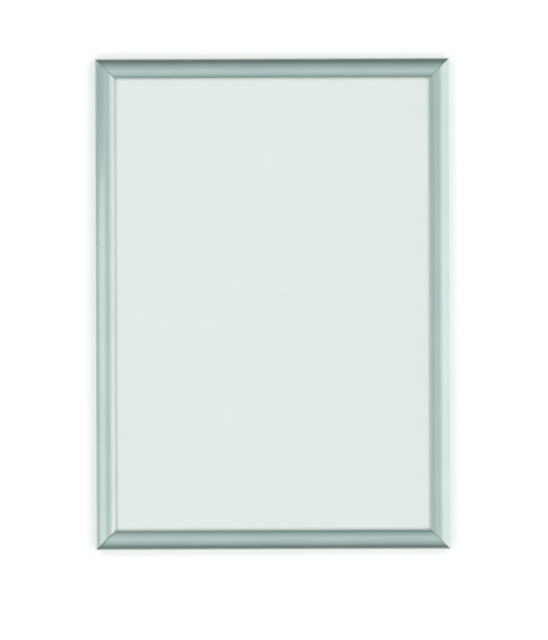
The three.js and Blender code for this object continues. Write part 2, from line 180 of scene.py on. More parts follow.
def place(finish, *per_metre):
    """The place on the piece itself, with this many noise cells to a metre along each axis."""
    own = finish.node("ShaderNodeTexCoord", out="Object")
    return finish.node("ShaderNodeVectorMath", {"operation": "MULTIPLY"}, {0: own, 1: per_metre})


def noise(finish, where, detail=2.0):
    """Noise around 0, about from -0.5 to 0.5."""
    return finish.node("ShaderNodeTexNoise", None, {"Vector": where, "Scale": 1.0, "Detail": detail}) - 0.5


def soft_step(value, start, end):
    sockets = {0: value, 1: start, 2: end, 3: 0.0, 4: 1.0}
    return value.finish.node("ShaderNodeMapRange", {"interpolation_type": "SMOOTHSTEP"}, sockets)


def between(factor, first, second):
    return factor.finish.node("ShaderNodeMix", {"data_type": "RGBA"}, {0: factor, 6: first, 7: second}, out=2)


def bump(height, distance):
    """A normal from a height around 0, where 1 stands for this distance in metres."""
    sockets = {"Height": height, "Distance": distance, "Strength": 1.0}
    return height.finish.node("ShaderNodeBump", None, sockets)


def principled(finish, **sockets):
    named = {name.replace("_", " "): value for name, value in sockets.items()}
    return finish.surface(finish.node("ShaderNodeBsdfPrincipled", None, named))


print("sums: place, noise, soft_step, between, bump, principled")

# %% [markdown]
# ## Studio
# The frame hangs on a white wall above a pale floor. The wall takes most of its white from the light that
# falls on it, so that it keeps the frame's soft shadow. The rest is its own, and only the camera and
# reflections see that, so that it throws no light on the frame. From behind, the wall is clear, and it is
# open where the frame covers it, so that the frame's own back is lit and can be seen. The floor reaches only
# a little way out, so that the rails hardly mirror it. Both are stage, not parts of the frame.

# %% Paint of the wall and the floor
WALL_OWN_WHITE, WALL_PAINT = 0.36, colour(0.71, 0.685, 0.685)
FLOOR_PAINT = colour(0.74, 0.755, 0.75)

wall_paint = material("wall_paint")
painted = wall_paint.node("ShaderNodeBsdfDiffuse", None, {"Color": WALL_PAINT})
own_white = wall_paint.node("ShaderNodeEmission", None, {"Strength": WALL_OWN_WHITE})
white = wall_paint.node("ShaderNodeAddShader", None, {0: painted, 1: own_white})
by_camera = wall_paint.node("ShaderNodeLightPath", out="Is Camera Ray")
by_gloss = wall_paint.node("ShaderNodeLightPath", out="Is Glossy Ray")
by_glass = wall_paint.node("ShaderNodeLightPath", out="Is Transmission Ray")
seen = by_camera + by_gloss + by_glass
front = wall_paint.node("ShaderNodeMixShader", None, {0: seen, 1: painted, 2: white})
clear_back = wall_paint.node("ShaderNodeBsdfTransparent")
seen_from_behind = wall_paint.node("ShaderNodeNewGeometry", out="Backfacing")
both_sides = {0: seen_from_behind, 1: front, 2: clear_back}
wall_paint.surface(wall_paint.node("ShaderNodeMixShader", None, both_sides))

floor_paint = material("floor_paint")
floor_paint.surface(floor_paint.node("ShaderNodeBsdfDiffuse", None, {"Color": FLOOR_PAINT}))
print(wall_paint.owner.name, floor_paint.owner.name)

# %% Wall and floor
WALL_GAP, WALL_UNDER = 0.0006, 0.001  # metres behind the frame's back, and under its edge
WALL_HALF_WIDTH, WALL_TOP, FLOOR_LEVEL, FLOOR_DEPTH = 2.5, 2.0, -2.4, 0.3


def flat(name, corners, faces, look):
    mesh = bpy.data.meshes.new(name)
    mesh.from_pydata(corners, [], faces)
    mesh.materials.append(look)
    made = bpy.data.objects.new(name, mesh)
    bpy.context.scene.collection.objects.link(made)
    return made


edge_x, edge_z = cad_box[1].x - WALL_UNDER, cad_box[1].z - WALL_UNDER
wall = flat("wall", [
    (-WALL_HALF_WIDTH, WALL_GAP, FLOOR_LEVEL), (WALL_HALF_WIDTH, WALL_GAP, FLOOR_LEVEL),
    (WALL_HALF_WIDTH, WALL_GAP, WALL_TOP), (-WALL_HALF_WIDTH, WALL_GAP, WALL_TOP),
    (-edge_x, WALL_GAP, -edge_z), (edge_x, WALL_GAP, -edge_z),
    (edge_x, WALL_GAP, edge_z), (-edge_x, WALL_GAP, edge_z),
], [(0, 1, 5, 4), (1, 2, 6, 5), (2, 3, 7, 6), (3, 0, 4, 7)], wall_paint.owner)
floor = flat("floor", [
    (-WALL_HALF_WIDTH, -FLOOR_DEPTH, FLOOR_LEVEL), (WALL_HALF_WIDTH, -FLOOR_DEPTH, FLOOR_LEVEL),
    (WALL_HALF_WIDTH, FLOOR_DEPTH, FLOOR_LEVEL), (-WALL_HALF_WIDTH, FLOOR_DEPTH, FLOOR_LEVEL),
], [(0, 1, 2, 3)], floor_paint.owner)
print("stage:", wall.name, floor.name)

# %% [markdown]
# Satin metal shows the room more than itself, so the room needs some care. In the photograph the upright
# rails are bright towards the right, the level rails darken towards their outer edges, and what faces the
# camera lies in between. An image of a room could light it, but two short lists say it better: how bright the
# room is from left to right, and which share of that is left from below to above. A last ramp turns the level
# into a colour, slightly cool where it is dark.

# %% The room
ROOM_ACROSS = [  # direction, from -1 on the left over 0 in front to 1 on the right, and level
    (-1.0, 0.53), (-0.5, 0.58), (-0.22, 0.71), (-0.09, 0.68), (0.0, 0.62), (0.07, 0.57), (0.15, 0.62),
    (0.3, 0.72), (0.5, 0.93), (0.72, 1.0), (1.0, 0.92),
]
ROOM_UPWARDS = [  # direction, from -1 below to 1 above, and share
    (-1.0, 0.03), (-0.92, 0.25), (-0.7, 0.66), (-0.5, 0.82), (-0.3, 0.91), (-0.15, 0.97), (0.1, 0.89),
    (0.3, 0.79), (0.55, 0.65), (0.8, 0.4), (1.0, 0.14),
]
BEHIND_LEVEL, BEHIND_START, BEHIND_END = 0.75, -0.05, 0.3  # what lies beyond the wall, and where it starts
ROOM_STRENGTH = 1.1
ROOM_COLOURS = [
    (0.0, (0.0, 0.0, 0.0)), (0.2, (0.15, 0.20, 0.198)), (0.4, (0.325, 0.40, 0.396)),
    (0.6, (0.52, 0.60, 0.596)), (0.8, (0.745, 0.80, 0.796)), (1.0, (0.975, 1.0, 0.995)),
]

world = bpy.data.worlds.new("room")
bpy.context.scene.world = world
room = Finish(world)
direction = room.node("ShaderNodeTexCoord", out="Generated")
to_right, to_wall, upwards = (
    room.node("ShaderNodeSeparateXYZ", None, {"Vector": direction}, out=axis) for axis in "XYZ"
)


def by_direction(along, levels):
    stops = [((spot + 1) / 2, (bright, bright, bright)) for spot, bright in levels]
    return room.node("ShaderNodeValToRGB", {"stops": stops}, {0: 0.5 * along + 0.5})


in_front = by_direction(to_right, ROOM_ACROSS) * by_direction(upwards, ROOM_UPWARDS)
behind = soft_step(to_wall, BEHIND_START, BEHIND_END)
level = in_front * (1 - behind) + BEHIND_LEVEL * behind
tint = room.node("ShaderNodeValToRGB", {"stops": ROOM_COLOURS}, {0: level})
glow = room.node("ShaderNodeBackground", None, {"Color": tint, "Strength": ROOM_STRENGTH})
room.surface(glow, "ShaderNodeOutputWorld")
print("room with", len(room.tree.nodes), "nodes")

# %% [markdown]
# Four soft boxes light the sheets evenly from the diagonals, as for photographing a flat picture. Sun lamps
# with a wide angle stand for boxes that are far away: their light comes from the same side everywhere on the
# frame, and where the lamp objects are placed makes no difference. Metal would mirror the boxes as white
# patches, so they are kept out of reflections: what the rails mirror is the room.

# %% Four soft boxes
BOX_ANGLE = math.radians(32)  # how wide a box looks from the frame
BOX_ASIDE = 0.57  # how far a box is sideways and upwards, for each unit of its distance
BOX_STRENGTH, BOX_UNEVEN = 0.58, 0.05  # a little more comes from the left

for across in (-1, 1):
    for above in (-1, 1):
        lamp = bpy.data.objects.new("soft_box", bpy.data.lights.new("soft_box", "SUN"))
        lamp.data.angle = BOX_ANGLE
        lamp.data.energy = BOX_STRENGTH - BOX_UNEVEN * across
        towards = Vector((across * BOX_ASIDE, -math.sqrt(1 - 2 * BOX_ASIDE ** 2), above * BOX_ASIDE))
        lamp.rotation_euler = towards.to_track_quat("Z", "Y").to_euler()
        lamp.visible_glossy = False
        bpy.context.scene.collection.objects.link(lamp)

bpy.context.scene.view_settings.view_transform = "Standard"
print("soft boxes:", sum(light.type == "SUN" for light in bpy.data.lights))

# %% [markdown]
# A soft card stands close by, low on the left, just outside the picture. It lifts what faces it on the left
# rail, more than on the right one, which a far light cannot do. It is there for the metal: the sheets are
# evenly lit by the boxes, so matt surfaces are kept from seeing it.

# %% A card for the left rail
CARD_DISTANCE, CARD_RIGHT_EDGE, CARD_TOP = 0.3, -0.315, 0.2  # metres from the wall, to the right and up
CARD_WIDTH, CARD_HEIGHT, CARD_LEVEL = 0.45, 0.75, 0.30

card = bpy.data.objects.new("card", bpy.data.lights.new("card", "AREA"))
card.data.shape, card.data.size, card.data.size_y = "RECTANGLE", CARD_WIDTH, CARD_HEIGHT
card.data.energy = math.pi * CARD_WIDTH * CARD_HEIGHT * CARD_LEVEL
card.location = (CARD_RIGHT_EDGE - CARD_WIDTH / 2, -CARD_DISTANCE, CARD_TOP - CARD_HEIGHT / 2)
card.rotation_euler = (math.radians(90), 0, 0)
card.visible_camera = card.visible_diffuse = False
bpy.context.scene.collection.objects.link(card)
print("card:", round(card.data.energy, 3), "W")

# %% [markdown]
# ## Finishes of the metal
# The snap rails are extruded, etched to a satin and anodised. Close up there are fine die lines along the
# rail, a tiny grain over them and, on a long rail, faint clouds in the tone. Each rail will be modelled along
# its own X axis, so noise that is stretched along X gives lines that follow every rail.

# %% Satin anodised aluminium
SATIN_LIGHT, SATIN_DARK = colour(0.80, 0.855, 0.835), colour(0.75, 0.81, 0.79)

satin = material("satin_anodised_aluminium")
die_lines = noise(satin, place(satin, 9, 3800, 3800))
broad_lines = noise(satin, place(satin, 2, 500, 500))
etched_grain = noise(satin, place(satin, 9000, 9000, 9000))
clouds = noise(satin, place(satin, 14, 45, 45), detail=4)
smudges = soft_step(noise(satin, place(satin, 38, 60, 60), detail=5), 0.08, 0.3)
principled(
    satin,
    Base_Color=between(soft_step(clouds + 0.35 * broad_lines, -0.28, 0.28), SATIN_LIGHT, SATIN_DARK),
    Metallic=1.0,
    Roughness=0.28 + 0.06 * die_lines + 0.05 * etched_grain + 0.03 * smudges,
    Normal=bump(0.5 * die_lines + 0.2 * broad_lines + 0.3 * etched_grain, 5e-6),
)
print(satin.owner.name, len(satin.tree.nodes), "nodes")

# %% [markdown]
# Where the saw went through the rail after anodising, the metal is bare. The blade leaves fine streaks that
# run out from the wall, across the cut.

# %% Saw-cut aluminium
BARE_LIGHT, BARE_DARK = colour(0.86, 0.87, 0.87), colour(0.70, 0.71, 0.715)

cut_metal = material("saw_cut_aluminium")
saw_streaks = noise(cut_metal, place(cut_metal, 2600, 2600, 90), detail=3)
principled(
    cut_metal,
    Base_Color=between(soft_step(saw_streaks, -0.3, 0.3), BARE_DARK, BARE_LIGHT),
    Metallic=1.0,
    Roughness=0.36 + 0.2 * saw_streaks,
    Normal=bump(saw_streaks, 1.5e-5),
)
print(cut_metal.owner.name, len(cut_metal.tree.nodes), "nodes")

# %% [markdown]
# The base rails sit against the wall and are left as they come from the press: a little greyer, with bolder
# press lines and a few dull patches from handling.

# %% Mill-finish aluminium
MILL_LIGHT, MILL_DARK = colour(0.76, 0.785, 0.78), colour(0.66, 0.69, 0.685)

mill = material("mill_aluminium")
press_lines = noise(mill, place(mill, 5, 1700, 1700), detail=3)
handling = soft_step(noise(mill, place(mill, 22, 50, 50), detail=5), 0.02, 0.25)
mill_grain = noise(mill, place(mill, 5200, 5200, 5200))
principled(
    mill,
    Base_Color=between(soft_step(press_lines, -0.3, 0.3), MILL_DARK, MILL_LIGHT),
    Metallic=1.0,
    Roughness=0.34 + 0.14 * press_lines + 0.09 * handling,
    Normal=bump(0.8 * press_lines + 0.2 * mill_grain, 1e-5),
)
print(mill.owner.name, len(mill.tree.nodes), "nodes")

# %% [markdown]
# Two kinds of steel are inside. The leaf springs are hardened strip: dark, rolled along the rail, with a
# hint of straw and blue from tempering. The corner keys and their screws are zinc plated: pale, slightly
# blue, with a mottled bloom that takes some of the shine.

# %% Spring steel and zinc plate
STRIP_GREY, STRIP_STRAW = colour(0.47, 0.47, 0.47), colour(0.52, 0.46, 0.37)
STRIP_BLUE = colour(0.36, 0.40, 0.47)
ZINC_PALE, ZINC_BLUE = colour(0.70, 0.72, 0.74), colour(0.56, 0.61, 0.67)
ZINC_STRAW = colour(0.72, 0.69, 0.58)

strip = material("tempered_spring_steel")
roll_lines = noise(strip, place(strip, 60, 5200, 5200), detail=3)
temper = noise(strip, place(strip, 130, 160, 160), detail=3)
warm = between(soft_step(temper, 0.05, 0.3), STRIP_GREY, STRIP_STRAW)
principled(
    strip,
    Base_Color=between(soft_step(0.0 - temper, 0.05, 0.3), warm, STRIP_BLUE),
    Metallic=1.0,
    Roughness=0.40 + 0.16 * roll_lines,
    Normal=bump(roll_lines, 7e-6),
)

zinc = material("zinc_plated_steel")
bloom = noise(zinc, place(zinc, 240, 240, 240), detail=5)
plating = noise(zinc, place(zinc, 1900, 1900, 1900), detail=3)
bluish = between(soft_step(bloom, -0.25, 0.2), ZINC_BLUE, ZINC_PALE)
principled(
    zinc,
    Base_Color=between(soft_step(bloom + 0.3 * plating, 0.16, 0.4), bluish, ZINC_STRAW),
    Metallic=1.0,
    Roughness=0.42 + 0.22 * bloom + 0.1 * plating,
    Normal=bump(0.3 * bloom + 0.7 * plating, 1.2e-5),
)
print(strip.owner.name, zinc.owner.name)

# %% [markdown]
# ## Finishes of the seals and sheets
# The weather seal is soft grey rubber with a dusty bloom. The back panel is a rigid plastic with a pebbled
# skin and fine scuffs. The blank poster is coated paper: almost even, with short fibres and a slow cloudiness
# when held to the light. These three scatter light, so their colour is in the diffuse part.

# %% Rubber, plastic and paper
RUBBER_DARK, RUBBER_DUSTY = colour(0.69, 0.725, 0.715), colour(0.77, 0.80, 0.79)
PLASTIC_PALE, PLASTIC_SHADE = colour(0.66, 0.70, 0.69), colour(0.63, 0.672, 0.662)
PAPER_PALE, PAPER_SHADE = colour(0.90, 0.90, 0.882), colour(0.88, 0.882, 0.864)

rubber = material("soft_grey_rubber")
dust = noise(rubber, place(rubber, 320, 900, 900), detail=5)
rubber_grain = noise(rubber, place(rubber, 7000, 7000, 7000))
principled(
    rubber,
    Base_Color=between(soft_step(dust, -0.15, 0.3), RUBBER_DARK, RUBBER_DUSTY),
    Roughness=0.66 + 0.2 * dust,
    Normal=bump(rubber_grain, 1.5e-5),
)

plastic = material("pebbled_plastic")
pebbles = noise(plastic, place(plastic, 2300, 2300, 2300), detail=3)
scuffs = soft_step(noise(plastic, place(plastic, 30, 30, 900), detail=4), 0.12, 0.3)
tone = noise(plastic, place(plastic, 9, 9, 9), detail=3)
principled(
    plastic,
    Base_Color=between(soft_step(tone + 0.3 * pebbles, -0.3, 0.3), PLASTIC_SHADE, PLASTIC_PALE),
    Roughness=0.48 + 0.12 * scuffs + 0.1 * pebbles,
    Normal=bump(pebbles, 2e-5),
)

paper = material("coated_paper")
fibres = noise(paper, place(paper, 1300, 5000, 4200), detail=3)
cloudy = noise(paper, place(paper, 60, 60, 60), detail=5)
principled(
    paper,
    Base_Color=between(soft_step(cloudy + 0.5 * fibres, -0.35, 0.35), PAPER_SHADE, PAPER_PALE),
    Roughness=0.82 + 0.1 * fibres,
    Normal=bump(fibres, 6e-6),
)
print(rubber.owner.name, plastic.owner.name, paper.owner.name)

# %% [markdown]
# The cover is a clear sheet with a matt, anti-glare front. Real glass would need light to be bent through it,
# which is slow and noisy for so thin a sheet. A mostly clear surface does it: a low alpha carries the haze of
# the matt front and its soft gloss. Along the cut edges one looks through much more plastic, so there the
# sheet is denser and greener.

# %% Matt clear cover
COVER_HAZE, COVER_EDGE = colour(0.86, 0.90, 0.885), colour(0.42, 0.60, 0.55)
FACE_ALPHA, EDGE_ALPHA = 0.16, 0.75

cover = material("matt_clear_cover")
facing = cover.node("ShaderNodeSeparateXYZ", None, {
    "Vector": cover.node("ShaderNodeNewGeometry", out="Normal"),
}, out="Y")
edge = 1 - soft_step(abs(facing), 0.2, 0.8)
matt = noise(cover, place(cover, 3600, 3600, 3600), detail=3)
wiped = noise(cover, place(cover, 12, 12, 40), detail=4)
principled(
    cover,
    Base_Color=between(edge, COVER_HAZE, COVER_EDGE),
    Roughness=0.38 + 0.1 * matt + 0.06 * wiped,
    Alpha=FACE_ALPHA + (EDGE_ALPHA - FACE_ALPHA) * edge + 0.03 * wiped,
    Normal=bump(matt, 8e-6),
)
print(cover.owner.name, len(cover.tree.nodes), "nodes")

# %% [markdown]
# ## Building rails from a section
# Every long piece of the frame is an extrusion, so each one is drawn as a section and pulled along X. In a
# section x runs inwards from the frame's outer edge and y out from the wall, in millimetres. Round stretches
# are arcs, with as many points as a small error of the chord asks for.

# %% Points and arcs
MM = 0.001
CHORD_ERROR = 0.002  # millimetres that a facet may lie inside its arc


def at(x, y):
    return Vector((x, y))


def polar(centre, radius, angle):
    return centre + radius * at(math.cos(angle), math.sin(angle))


def angle_to(start, end):
    return math.atan2(end.y - start.y, end.x - start.x)


def arc(centre, radius, start, end):
    step = 2 * math.acos(1 - CHORD_ERROR / max(radius, 2 * CHORD_ERROR))
    steps = max(1, math.ceil(abs(end - start) / step))
    return [polar(centre, radius, start + (end - start) * i / steps) for i in range(steps + 1)]


print("a 21 mm arc of 40 degrees has", len(arc(at(0, 0), 21, 0, math.radians(40))), "points")

# %% [markdown]
# Real extrusions have no razor edges, so `eased` rounds each corner a little, and the ends get a small
# chamfer by drawing the section in before the last step. A Bevel modifier could do it too, but it tends to
# fold on fine curves.

# %% Eased and drawn-in outlines
SHARP_TURN = math.radians(24)
EASE_STEPS, EASE_SHARE = 4, 0.4  # steps of a rounding, and the share of an edge that it may take


def eased(outline, radius):
    """The same outline, with each corner rounded as far as its two edges allow."""
    points = []
    for before, corner, after in zip(outline[-1:] + outline[:-1], outline, outline[1:] + outline[:1]):
        back, ahead = before - corner, after - corner
        turn = math.pi - back.angle(ahead)
        if turn < SHARP_TURN:
            points.append(corner)
            continue
        reach = min(radius * math.tan(turn / 2), EASE_SHARE * back.length, EASE_SHARE * ahead.length)
        start, end = corner + reach * back.normalized(), corner + reach * ahead.normalized()
        for step in range(EASE_STEPS + 1):
            t = step / EASE_STEPS
            points.append((1 - t) ** 2 * start + 2 * t * (1 - t) * corner + t ** 2 * end)
    return points


def anticlockwise(outline):
    twice_area = sum(a.x * b.y - a.y * b.x for a, b in zip(outline, outline[1:] + outline[:1]))
    return outline if twice_area > 0 else outline[::-1]


def drawn_in(outline, depth):
    """An anticlockwise outline moved inwards by a depth."""
    points = []
    for before, corner, after in zip(outline[-1:] + outline[:-1], outline, outline[1:] + outline[:1]):
        normals = [at(-edge.y, edge.x).normalized() for edge in (corner - before, after - corner)]
        points.append(corner + (normals[0] + normals[1]) * depth / (1 + normals[0].dot(normals[1])))
    return points


print("corners that turn by", round(math.degrees(SHARP_TURN)), "degrees or more are eased")

# %% [markdown]
# `loft` joins rings of points into one closed mesh. The two end faces get the last material, which on the
# rails is the saw-cut metal. `rail` pulls a section along X: with a mitre, the ends lie further in the
# further a point is from the outer edge.

# %% Lofting tools
SMOOTH_ANGLE = math.radians(32)
END_CHAMFER = 0.04


def loft(name, rings, looks):
    count, last = len(rings[0]), len(rings) - 1
    points = [MM * point for ring in rings for point in ring]
    ends = [range(count - 1, -1, -1), range(last * count, (last + 1) * count)]
    sides = [
        (k * count + i, k * count + j, (k + 1) * count + j, (k + 1) * count + i)
        for k in range(last) for i, j in zip(range(count), [*range(1, count), 0])
    ]
    mesh = bpy.data.meshes.new(name)
    mesh.from_pydata(points, [], [*ends, *sides])
    for look in looks:
        mesh.materials.append(look)
    for end in (0, 1):
        mesh.polygons[end].material_index = len(looks) - 1
    made = bpy.data.objects.new(name, mesh)
    bpy.context.scene.collection.objects.link(made)
    smooth(made)
    return made


def smooth(made):
    made.data.shade_smooth()
    made.data.set_sharp_from_angle(angle=SMOOTH_ANGLE)


def rail(name, outline, looks, end_at, ease):
    """A piece along X, where end_at(end, how far in a point is) gives the reach of its two ends."""
    outline = anticlockwise(outline)
    full, thin = eased(outline, ease), eased(drawn_in(outline, END_CHAMFER), ease)
    rings = []
    for end, section, short in (
        (-1, thin, 0), (-1, full, END_CHAMFER), (1, full, END_CHAMFER), (1, thin, 0),
    ):
        rings.append([Vector((end * (end_at(end, p.x) - short), p.x, p.y)) for p in section])
    return loft(name, rings, looks)


def mitre(length, start_gap, end_gap):
    gaps = {-1: start_gap, 1: end_gap}
    return lambda end, inwards: length / 2 - inwards - gaps[end] * math.sqrt(0.5)


def square(length):
    return lambda end, inwards: length / 2


print("lofts are smooth up to", round(math.degrees(SMOOTH_ANGLE)), "degrees")

# %% [markdown]
# Holes and cut-backs are made with a Boolean, which is then applied, so that the piece is a plain mesh. A
# flat piece needs no section: `plate` stacks its outline, drawn in a little at the back and at the front,
# which breaks the edges.

# %% Tools for holes and plates
def cut(piece, tools):
    for tool in tools:
        modifier = piece.modifiers.new("cut", "BOOLEAN")
        modifier.operation, modifier.solver, modifier.object = "DIFFERENCE", "EXACT", tool
    graph = bpy.context.evaluated_depsgraph_get()
    mesh = bpy.data.meshes.new_from_object(piece.evaluated_get(graph))
    piece.modifiers.clear()
    piece.data = mesh
    for tool in tools:
        bpy.data.objects.remove(tool)
    smooth(piece)


def ring(radius, height, sides=48, centre=(0, 0)):
    x, y = centre
    turns = [2 * math.pi * i / sides for i in range(sides)]
    return [Vector((x + radius * math.cos(t), y + radius * math.sin(t), height)) for t in turns]


def block(low, high, look):
    corners = [(low[0], low[1]), (high[0], low[1]), (high[0], high[1]), (low[0], high[1])]
    return loft("block", [[Vector((x, y, z)) for x, y in corners] for z in (low[2], high[2])], [look])


def plate(name, outline, chamfer, back, front, look):
    thin = drawn_in(outline, chamfer)
    steps = [(thin, back), (outline, back + chamfer), (outline, front - chamfer), (thin, front)]
    return loft(name, [[p.to_3d() + Vector((0, 0, z)) for p in points] for points, z in steps], [look])


print("tools: cut, ring, block, plate")

# %% [markdown]
# ## The rails' sizes
# These are the sizes of the CAD model. The hinge is a bead along the base rail's outer wall, and the claw of
# the snap rail turns on it. The face rises from the outer edge to a crown and falls on a slightly tighter
# curve to the window.

# %% Sizes in millimetres
FRAME_WIDTH, FRAME_HEIGHT, RAIL_WIDTH = 450, 624, 25
MITRE_GAP, BASE_MITRE_GAP = 0.4, 0.2
FLOOR, OUTER_WALL, WEB_OUTER, WEB_INNER = 1.4, 1.2, 13.1, 14.5
LEDGE, LEDGE_END, SHEET_GAP = 1.4, 19, 0.1
SLOT_TOP, LIP_TOP, OUTER_LIP, INNER_LIP = 3.7, 4.45, 1.1, 1.6
BEAD_RADIUS, CLAW_INNER, CLAW_OUTER = 1.2, 1.45, 2.75
HINGE, CROWN = at(1.2, 7.5), at(14.8, 16)
COVER_WALL, WINDOW_DROP, LIP_FILLET, LIP_FLAT, FOOT_WIDTH = 1.4, 3.2, 0.8, 0.2, 5.4
SEAL_FROM_LIP, SEAL_GAP, MOUTH_DEPTH, HEAD_HEIGHT, NECK_HALF, HEAD_HALF = 3.6, 0.1, 0.5, 0.6, 0.4, 0.8
SEAT_RADIUS, SEAT_OUTER, ARM_REACH, ARM_THICKNESS = 0.7, 1.2, 5.6, 1.2
HEAD_ROOM, HEEL_ROOM = 0.9, 0.6  # between the base seat and the face, and beside the arm's seat
LEAF_THICKNESS, LEAF_LENGTH, LEAF_BOW, ROLL_RADIUS = 0.4, 16, 0.8, 0.5
OPEN_ANGLE = math.radians(90)


def arc_radius(run, fall):
    """Radius of an arc that starts level and falls by a height over a run."""
    return (run ** 2 + fall ** 2) / (2 * fall)


def height_on(centre, radius, x):
    return centre.y + math.sqrt(radius ** 2 - (x - centre.x) ** 2)


CLAW_TIP = math.acos(-HINGE.x / CLAW_OUTER)
CLAW_HEEL = -math.acos((OUTER_WALL + CLAW_INNER - BEAD_RADIUS - HINGE.x) / CLAW_INNER)
TIP = polar(HINGE, CLAW_OUTER, CLAW_TIP)
OUTER_RADIUS = arc_radius(CROWN.x - TIP.x, CROWN.y - TIP.y)
INNER_RADIUS = arc_radius(RAIL_WIDTH - CROWN.x, WINDOW_DROP)
OUTER_ARC, INNER_ARC = CROWN - at(0, OUTER_RADIUS), CROWN - at(0, INNER_RADIUS)
LIP_X, FOOT_X, SEAL_X = RAIL_WIDTH - LIP_FILLET, RAIL_WIDTH - FOOT_WIDTH, RAIL_WIDTH - SEAL_FROM_LIP
LIP = at(LIP_X, height_on(INNER_ARC, INNER_RADIUS - LIP_FILLET, LIP_X))
FOOT_BACK = LIP.y - LIP_FLAT
LEDGE_FRONT = -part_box("back_panel")[1].y / MM - SHEET_GAP
print("face radii:", round(OUTER_RADIUS, 2), round(INNER_RADIUS, 2), "ledge:", round(LEDGE_FRONT, 2))

# %% [markdown]
# A leaf spring sits between a seat on the base rail's web and a seat on the snap rail's arm. Both seats are
# round and open towards the leaf, from the shut rail to the open one, so their mouths follow from the leaf's
# directions at its ends.

# %% Seats of the leaf springs
BASE_SEAT_X = WEB_OUTER - SEAT_OUTER + SEAT_RADIUS
HEAD_TOP = height_on(OUTER_ARC, OUTER_RADIUS - COVER_WALL, BASE_SEAT_X) - HEAD_ROOM
BASE_SEAT = at(BASE_SEAT_X, HEAD_TOP - SEAT_OUTER)
ARM_ANGLE = angle_to(HINGE, BASE_SEAT) - OPEN_ANGLE / 2
ARM_SEAT = polar(HINGE, ARM_REACH, ARM_ANGLE)
HEEL_CUT = HINGE.x + ARM_REACH + SEAT_OUTER + HEEL_ROOM
LEAF_CHORD = (BASE_SEAT - ARM_SEAT).length
LEAF_SLOPE = 2 * math.atan(2 * LEAF_BOW / LEAF_CHORD)
LEAF_SHUT = angle_to(ARM_SEAT, BASE_SEAT)
LEAF_OPEN = angle_to(polar(HINGE, ARM_REACH, ARM_ANGLE + OPEN_ANGLE), BASE_SEAT)
LEAF_ROOM = math.asin((LEAF_THICKNESS / 2 + SEAT_RADIUS - ROLL_RADIUS) / SEAT_RADIUS)
print("leaf chord:", round(LEAF_CHORD, 2), "mm; base seat at", [round(v, 2) for v in BASE_SEAT])

# %% [markdown]
# ## Four sides on the wall
# Each side is built in its own frame, X along it, Y inwards and Z out from the wall, and then turned by
# quarters into place. The finishes read that frame too, so their lines follow each rail.

# %% Places of the sides
SIDES = {  # quarter turns, length, reach from the middle to the outer edge, springs
    "bottom": (0, FRAME_WIDTH, FRAME_HEIGHT / 2, 2),
    "right": (1, FRAME_HEIGHT, FRAME_WIDTH / 2, 3),
    "top": (2, FRAME_WIDTH, FRAME_HEIGHT / 2, 2),
    "left": (3, FRAME_HEIGHT, FRAME_WIDTH / 2, 3),
}
ON_WALL = Matrix.Rotation(math.radians(90), 4, "X")


def on_side(side, along=0):
    """The place of a piece on its side, so many millimetres along it."""
    quarter, _, reach, _ = SIDES[side]
    turn = Matrix.Rotation(math.radians(90) * quarter, 4, "Z")
    return ON_WALL @ turn @ Matrix.Translation((along * MM, -reach * MM, 0))


def put(piece, matrix, body, slot, *nodes):
    """Places a piece, lets it ride on its body and stand for its CAD nodes."""
    piece.matrix_world = matrix
    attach(piece, body)
    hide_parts(*nodes)


def spring_places(count, length):
    return [length * ((i + 0.5) / count - 0.5) for i in range(count)]


print("sides:", {side: facts[1] for side, facts in SIDES.items()})

# %% [markdown]
# ## Snap rails
# The face rail is what one sees: a thin curved wall with a rounded lip at the window, a foot with a groove
# for the seal, a claw that hooks over the bead, and an arm for the springs. All of it is one section, drawn
# in two halves: along the face and back to the foot, then along the underside to the claw.

# %% Groove and arm of a snap rail
def seal_groove():
    half_mouth, half_groove = NECK_HALF + SEAL_GAP, HEAD_HALF + SEAL_GAP
    mouth, top = FOOT_BACK + MOUTH_DEPTH, FOOT_BACK + MOUTH_DEPTH + HEAD_HEIGHT + 2 * SEAL_GAP
    right = [(half_mouth, FOOT_BACK), (half_mouth, mouth), (half_groove, mouth), (half_groove, top)]
    left = [(-x, y) for x, y in reversed(right)]
    return [at(SEAL_X + x, y) for x, y in right + left]


def arm_seat():
    to_hinge = ARM_ANGLE + math.pi
    edge = math.asin(ARM_THICKNESS / 2 / SEAT_OUTER)
    upper = LEAF_SHUT + LEAF_SLOPE + LEAF_ROOM
    lower = LEAF_OPEN + LEAF_SLOPE - LEAF_ROOM - OPEN_ANGLE + 2 * math.pi
    return [
        *arc(ARM_SEAT, SEAT_OUTER, to_hinge - edge, upper),
        *arc(ARM_SEAT, SEAT_RADIUS, upper, lower),
        *arc(ARM_SEAT, SEAT_OUTER, lower, to_hinge + edge),
    ]


print("groove and arm seat have", len(seal_groove()), "and", len(arm_seat()), "points")

# %% Section of a snap rail
def face_outline():
    fillet_start, top = angle_to(INNER_ARC, LIP), math.pi / 2
    return [
        *arc(HINGE, CLAW_INNER, CLAW_HEEL, CLAW_TIP),
        *arc(OUTER_ARC, OUTER_RADIUS, angle_to(OUTER_ARC, TIP), top),
        *arc(INNER_ARC, INNER_RADIUS, top, fillet_start)[1:],
        *arc(LIP, LIP_FILLET, fillet_start, 0)[1:],
        at(RAIL_WIDTH, FOOT_BACK),
        *seal_groove(),
        at(FOOT_X, FOOT_BACK),
    ]


